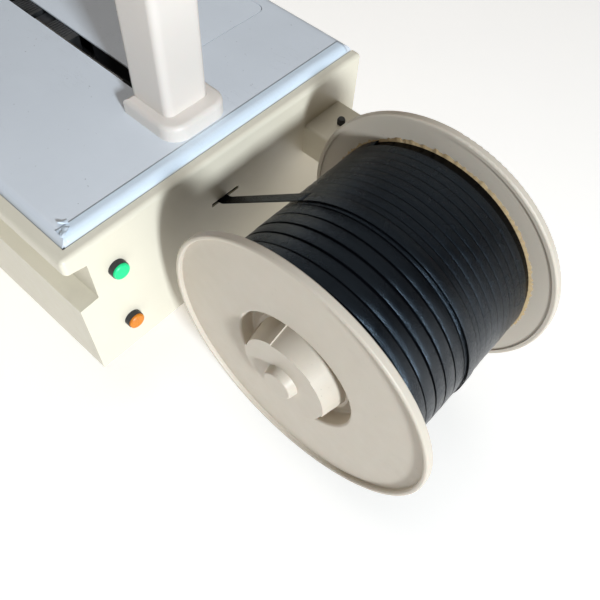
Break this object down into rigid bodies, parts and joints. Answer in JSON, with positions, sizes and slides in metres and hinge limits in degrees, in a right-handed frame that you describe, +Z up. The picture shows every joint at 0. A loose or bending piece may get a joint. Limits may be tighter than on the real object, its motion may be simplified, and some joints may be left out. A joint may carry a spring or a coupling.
{
  "type": "strapping machine",
  "caption": "Low-table strapping machine with a strap arch, push buttons, a lift-up rear cover and a side reel of plastic strap on a bracket.",
  "frame": {"origin": "on the floor, under the middle of the whole machine with its reel", "axes": "+X along the table towards the reel, +Y away from the operator, +Z up"},
  "size_m": [1.2416, 0.41, 0.8225],
  "materials": {
    "arch_moulding": "satin",
    "flap_plastic": "satin",
    "aluminium_track": "satin",
    "body_paint": "powder coat, satin",
    "frame_paint": "matt",
    "zinc_steel": "zinc plated",
    "black_plastic": "satin",
    "dial_plastic": "satin",
    "rocker_plastic": "gloss",
    "green_lens": "gloss",
    "orange_lens": "gloss",
    "table_film": "steel sheet under a pale blue film",
    "dark_channel": "matt",
    "polished_rail": "polished",
    "head_steel": "ground",
    "gripper_steel": "ground",
    "black_oxide": "black oxide",
    "blade_copper": "oxidised copper",
    "motor_paint": "satin",
    "box_paint": "satin",
    "roller_rubber": "matt",
    "reel_plastic": "satin",
    "bush_plastic": "satin",
    "strap": "embossed polypropylene, half gloss",
    "foot_rubber": "matt"
  },
  "bodies": {
    "machine": {"arch_beam": "arch_moulding", "arch_feet": "arch_moulding", "arch_post_left": "arch_moulding", "arch_post_right": "arch_moulding", "arch_tracks": "aluminium_track", "base_frame": "frame_paint", "base_tray": "body_paint", "bracket_bolts": "zinc_steel", "button_bodies": "black_plastic", "control_box": "box_paint", "control_housing": "black_plastic", "drive_motor": "motor_paint", "foot_bolts": "zinc_steel", "front_panel": "body_paint", "gearbox": "motor_paint", "head_frame": "head_steel", "head_guides": "head_steel", "left_end_panel": "body_paint", "panel_screws": "zinc_steel", "power_inlet": "black_plastic", "rear_panel": "body_paint", "reel_bracket": "body_paint", "reel_shaft": "zinc_steel", "right_end_panel": "body_paint", "roller_bracket": "head_steel", "rubber_feet": "foot_rubber", "shaft_nut": "zinc_steel", "slot_channel": "dark_channel", "slot_rail": "polished_rail", "strap_inlet_guide": "dark_channel", "strap_lead": "strap", "strap_pool_box": "box_paint", "table_hinge_leaves": "zinc_steel", "table_plate": "table_film", "table_subframe": "frame_paint"},
    "cover": {"rear_cover": "table_film", "cover_hinge_leaves": "zinc_steel"},
    "flap_right": {"arch_flap_right": "flap_plastic"},
    "flap_left": {"arch_flap_left": "flap_plastic"},
    "flap_top": {"arch_flap_top": "flap_plastic"},
    "green_button": {"green_button_cap": "green_lens"},
    "orange_button": {"orange_button_cap": "orange_lens"},
    "tension_control": {"tension_dial": "dial_plastic"},
    "heat_control": {"heat_dial": "dial_plastic"},
    "mains_switch": {"mains_rocker": "rocker_plastic"},
    "reel": {"front_flange": "reel_plastic", "rear_flange": "reel_plastic", "reel_drum": "reel_plastic", "strap_coil": "strap", "hub_sleeve": "bush_plastic"},
    "nut": {"hub_nut": "reel_plastic"},
    "thumb_screw": {"bracket_knob": "black_plastic"},
    "slide": {"slide_plate": "black_oxide"},
    "gripper_right": {"right_gripper": "gripper_steel"},
    "gripper_left": {"left_gripper": "gripper_steel"},
    "ram": {"press_ram": "black_oxide"},
    "heater": {"heater_blade": "blade_copper"},
    "cams": {"cam_shaft": "head_steel"},
    "feed": {"feed_roller": "roller_rubber"},
    "pinch": {"pinch_roller": "gripper_steel"}
  },
  "joints": [
    {"name": "cover_lift", "type": "hinge", "parent": "machine", "child": "cover", "pos_m": [-0.1694, 0.1816, 0.271], "axis": [-1, 0, 0], "range_deg": [0, 100]},
    {"name": "flap_right_swing", "type": "hinge", "parent": "machine", "child": "flap_right", "pos_m": [0.1783, -0.0002, 0.53], "axis": [0, 0, -1], "range_deg": [0, 35], "stiffness_Nm_per_rad": 0.02},
    {"name": "flap_left_swing", "type": "hinge", "parent": "machine", "child": "flap_left", "pos_m": [-0.5171, -0.0002, 0.53], "axis": [0, 0, 1], "range_deg": [0, 35], "stiffness_Nm_per_rad": 0.02},
    {"name": "flap_top_swing", "type": "hinge", "parent": "machine", "child": "flap_top", "pos_m": [-0.1694, -0.0002, 0.7703], "axis": [1, 0, 0], "range_deg": [0, 35], "stiffness_Nm_per_rad": 0.02, "springref_deg": -20.05},
    {"name": "green_press", "type": "slide", "parent": "machine", "child": "green_button", "axis": [-1, 0, 0], "range_m": [0, 0.002], "stiffness_N_per_m": 400, "springref_m": -0.001},
    {"name": "orange_press", "type": "slide", "parent": "machine", "child": "orange_button", "axis": [-1, 0, 0], "range_m": [0, 0.002], "stiffness_N_per_m": 400, "springref_m": -0.001},
    {"name": "tension_turn", "type": "hinge", "parent": "machine", "child": "tension_control", "pos_m": [-0.5, -0.19, 0.215], "axis": [0, -1, 0], "range_deg": [-270, 0]},
    {"name": "heat_turn", "type": "hinge", "parent": "machine", "child": "heat_control", "pos_m": [-0.445, -0.19, 0.215], "axis": [0, -1, 0], "range_deg": [-270, 0]},
    {"name": "mains_rock", "type": "hinge", "parent": "machine", "child": "mains_switch", "pos_m": [-0.545, -0.1902, 0.215], "axis": [-1, 0, 0], "range_deg": [0, 16]},
    {"name": "reel_spin", "type": "hinge", "parent": "machine", "child": "reel", "pos_m": [0.472, 0, 0.1952], "axis": [0, 1, 0], "continuous": true},
    {"name": "nut_turn", "type": "hinge", "parent": "reel", "child": "nut", "pos_m": [0.472, -0.11, 0.1952], "axis": [0, 1, 0], "range_deg": [0, 90]},
    {"name": "screw_turn", "type": "hinge", "parent": "machine", "child": "thumb_screw", "pos_m": [0.309, 0.143, 0.22], "axis": [0, 0, 1], "range_deg": [-180, 180]},
    {"name": "slide_retract", "type": "slide", "parent": "machine", "child": "slide", "axis": [0, 1, 0], "range_m": [0, 0.02]},
    {"name": "gripper_right_rise", "type": "slide", "parent": "machine", "child": "gripper_right", "axis": [0, 0, 1], "range_m": [0, 0.002]},
    {"name": "gripper_left_rise", "type": "slide", "parent": "machine", "child": "gripper_left", "axis": [0, 0, 1], "range_m": [0, 0.002]},
    {"name": "ram_rise", "type": "slide", "parent": "machine", "child": "ram", "axis": [0, 0, 1], "range_m": [0, 0.003]},
    {"name": "heater_advance", "type": "slide", "parent": "machine", "child": "heater", "axis": [0, -1, 0], "range_m": [0, 0.018]},
    {"name": "cam_turn", "type": "hinge", "parent": "machine", "child": "cams", "pos_m": [0, -0.008, 0.15], "axis": [1, 0, 0], "continuous": true},
    {"name": "feed_turn", "type": "hinge", "parent": "machine", "child": "feed", "pos_m": [0.115, 0, 0.1696], "axis": [0, 1, 0], "continuous": true},
    {"name": "pinch_turn", "type": "hinge", "parent": "machine", "child": "pinch", "pos_m": [0.115, 0, 0.213], "axis": [0, 1, 0], "continuous": true}
  ],
  "couplings": [
    {"joint": "pinch_turn", "follows": "feed_turn", "ratio": -2}
  ]
}
